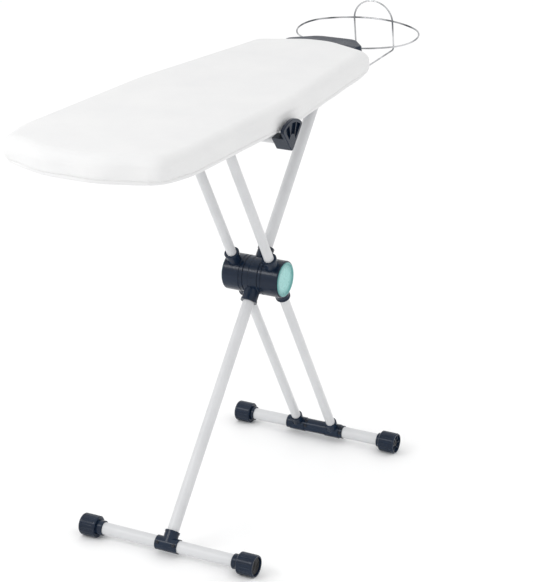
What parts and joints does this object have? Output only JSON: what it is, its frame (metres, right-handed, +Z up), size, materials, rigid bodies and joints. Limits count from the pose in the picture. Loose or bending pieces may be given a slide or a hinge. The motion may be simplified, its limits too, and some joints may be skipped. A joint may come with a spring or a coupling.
{
  "type": "ironing board",
  "caption": "Folding ironing board: padded fabric top on crossed tube legs with a central hub, sliding cross-bar with release handles, wire iron rest and transport wheels.",
  "frame": {"origin": "on the floor, under the middle of the opened board's box", "axes": "+X towards the narrow tail with the iron rest, -X towards the broad nose, +Y to the left of that, +Z up"},
  "size_m": [1.3683, 0.43, 1.028],
  "materials": {
    "cover_cloth": "matt woven cotton, white",
    "felt": "needle felt underlay",
    "elastic": "woven elastic cord",
    "frame_steel": "powder coated, white grey",
    "tube_white": "powder coated, satin white",
    "navy_plastic": "moulded, satin dark navy",
    "black_plastic": "moulded, black",
    "teal_plastic": "moulded, soft teal",
    "rubber_black": "moulded rubber",
    "chrome_wire": "polished chrome wire",
    "zinc": "zinc plated",
    "black_steel": "black oxide screws",
    "rack_nylon": "glass filled nylon"
  },
  "bodies": {
    "board": {"cover": "cover_cloth", "felt_pad": "felt", "hem_elastic": "elastic", "steel_top": "frame_steel", "rail_left": "zinc", "rail_right": "zinc", "rail_stops": "black_plastic", "height_rack": "rack_nylon", "tail_cap": "navy_plastic", "cap_screws": "zinc", "pivot_bolt": "zinc", "iron_rest_frame": "chrome_wire", "iron_rest_ring": "chrome_wire"},
    "front_leg": {"pivot_sleeve": "black_plastic", "sleeve_rivet": "zinc", "front_leg_upper_tube": "tube_white", "front_leg_lower_tube": "tube_white", "hub_centre_barrel": "navy_plastic", "front_foot_tee": "navy_plastic", "front_foot_tube": "tube_white", "front_tee_screws": "black_steel", "front_foot_cap_left": "navy_plastic", "front_foot_cap_right": "navy_plastic", "front_foot_pads": "rubber_black"},
    "rear_legs": {"hub_axle": "zinc", "hub_barrel_left": "navy_plastic", "hub_barrel_right": "navy_plastic", "hub_cap_left": "teal_plastic", "hub_cap_right": "teal_plastic", "rear_leg_upper_left": "tube_white", "rear_leg_upper_right": "tube_white", "rear_leg_lower_left": "tube_white", "rear_leg_lower_right": "tube_white", "rear_leg_t_left": "black_plastic", "rear_leg_t_right": "black_plastic", "rear_foot_tee": "navy_plastic", "rear_foot_tube": "tube_white", "rear_tee_screws": "black_steel", "axle_sleeve_left": "navy_plastic", "axle_sleeve_right": "navy_plastic", "wheel_screws": "black_steel"},
    "carriage": {"glide_shoe_left": "rack_nylon", "glide_shoe_right": "rack_nylon"},
    "latch_bar": {"cross_bar": "tube_white", "release_handle_left": "navy_plastic", "release_handle_right": "navy_plastic", "latch_pawl": "black_plastic", "latch_spring": "zinc"},
    "wheel_left": {"wheel_left": "navy_plastic"},
    "wheel_right": {"wheel_right": "navy_plastic"}
  },
  "joints": [
    {"name": "leg_fold", "type": "hinge", "parent": "board", "child": "front_leg", "pos_m": [0.417, 0, 0.92208], "axis": [0, 1, 0], "range_deg": [0, 48.1]},
    {"name": "hub_pivot", "type": "hinge", "parent": "front_leg", "child": "rear_legs", "pos_m": [0.0811, 0, 0.516], "axis": [0, 1, 0], "range_deg": [-103.8, 0]},
    {"name": "carriage_pivot", "type": "hinge", "parent": "rear_legs", "child": "carriage", "pos_m": [-0.17919, 0, 0.916], "axis": [0, 1, 0], "range_deg": [0, 55.7]},
    {"name": "latch_release", "type": "hinge", "parent": "carriage", "child": "latch_bar", "pos_m": [-0.17919, 0, 0.916], "axis": [0, 1, 0], "range_deg": [0, 10], "stiffness_Nm_per_rad": 6, "springref_deg": -34.38},
    {"name": "wheel_left_spin", "type": "hinge", "parent": "rear_legs", "child": "wheel_left", "pos_m": [0.40127, 0.195, 0.024], "axis": [0, 1, 0], "continuous": true},
    {"name": "wheel_right_spin", "type": "hinge", "parent": "rear_legs", "child": "wheel_right", "pos_m": [0.40127, -0.195, 0.024], "axis": [0, 1, 0], "continuous": true}
  ],
  "couplings": [
    {"joint": "hub_pivot", "follows": "leg_fold", "ratio": -2.1569},
    {"joint": "carriage_pivot", "follows": "leg_fold", "ratio": 1.1569}
  ]
}
